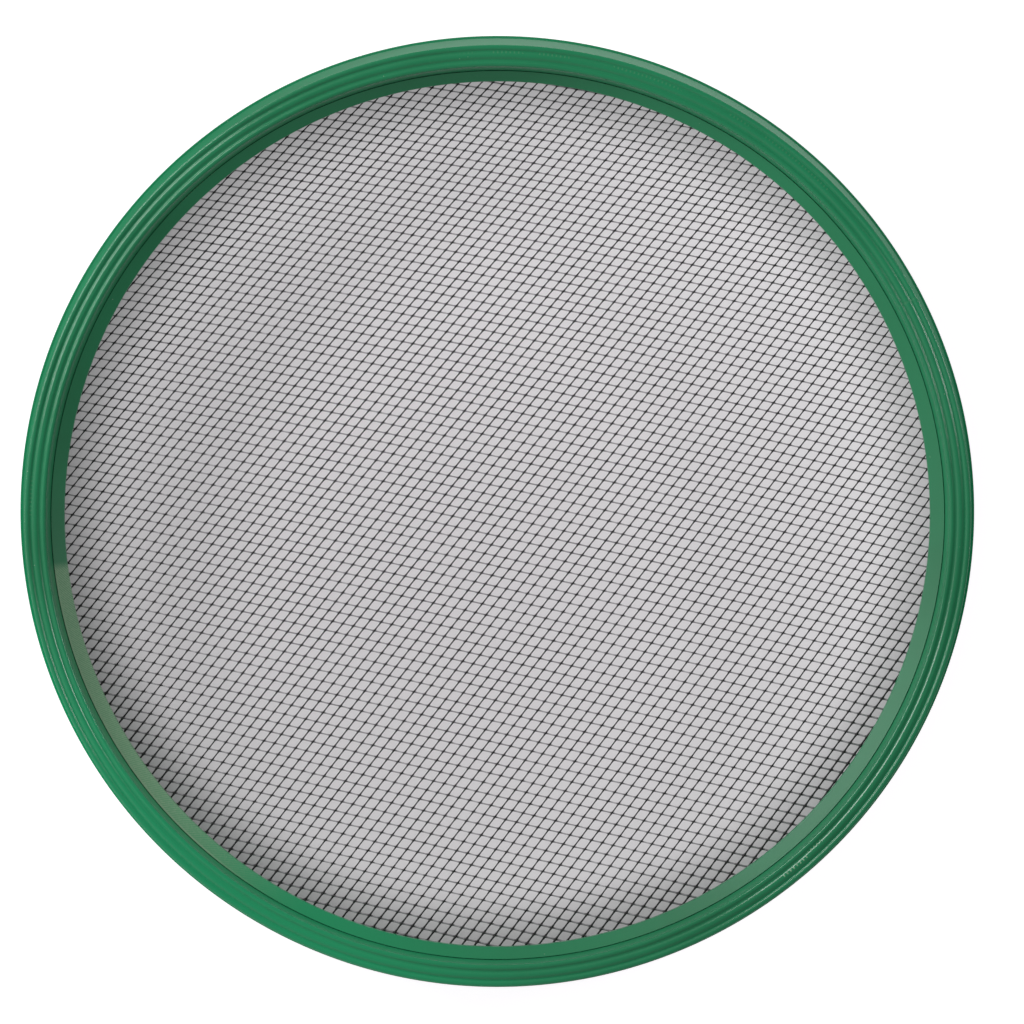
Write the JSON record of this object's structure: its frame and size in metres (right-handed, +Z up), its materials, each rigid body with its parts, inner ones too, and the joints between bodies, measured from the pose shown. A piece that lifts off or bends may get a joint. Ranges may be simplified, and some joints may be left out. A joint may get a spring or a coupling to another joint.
{
  "type": "drum sieve",
  "caption": "Round drum sieve: a ribbed moulded hoop with a flat woven wire cloth held inside it by a bevelled clamp ring.",
  "frame": {"origin": "centre of the hoop, in the plane of the foot that it stands on", "axes": "+Z up along the hoop's axis, through the ribbed rim; +X and +Y are the picture's right and top"},
  "size_m": [0.3, 0.3, 0.045],
  "materials": {
    "hoop": "semi-gloss moulded, mid green",
    "clamp": "semi-gloss moulded, mid green",
    "warp": "drawn wire, dark oxidised",
    "weft": "drawn wire, dull bright"
  },
  "bodies": {
    "root": {"drum_hoop": "hoop", "clamp_ring": "clamp", "warp_wires": "warp", "weft_wires": "weft"}
  },
  "joints": []
}
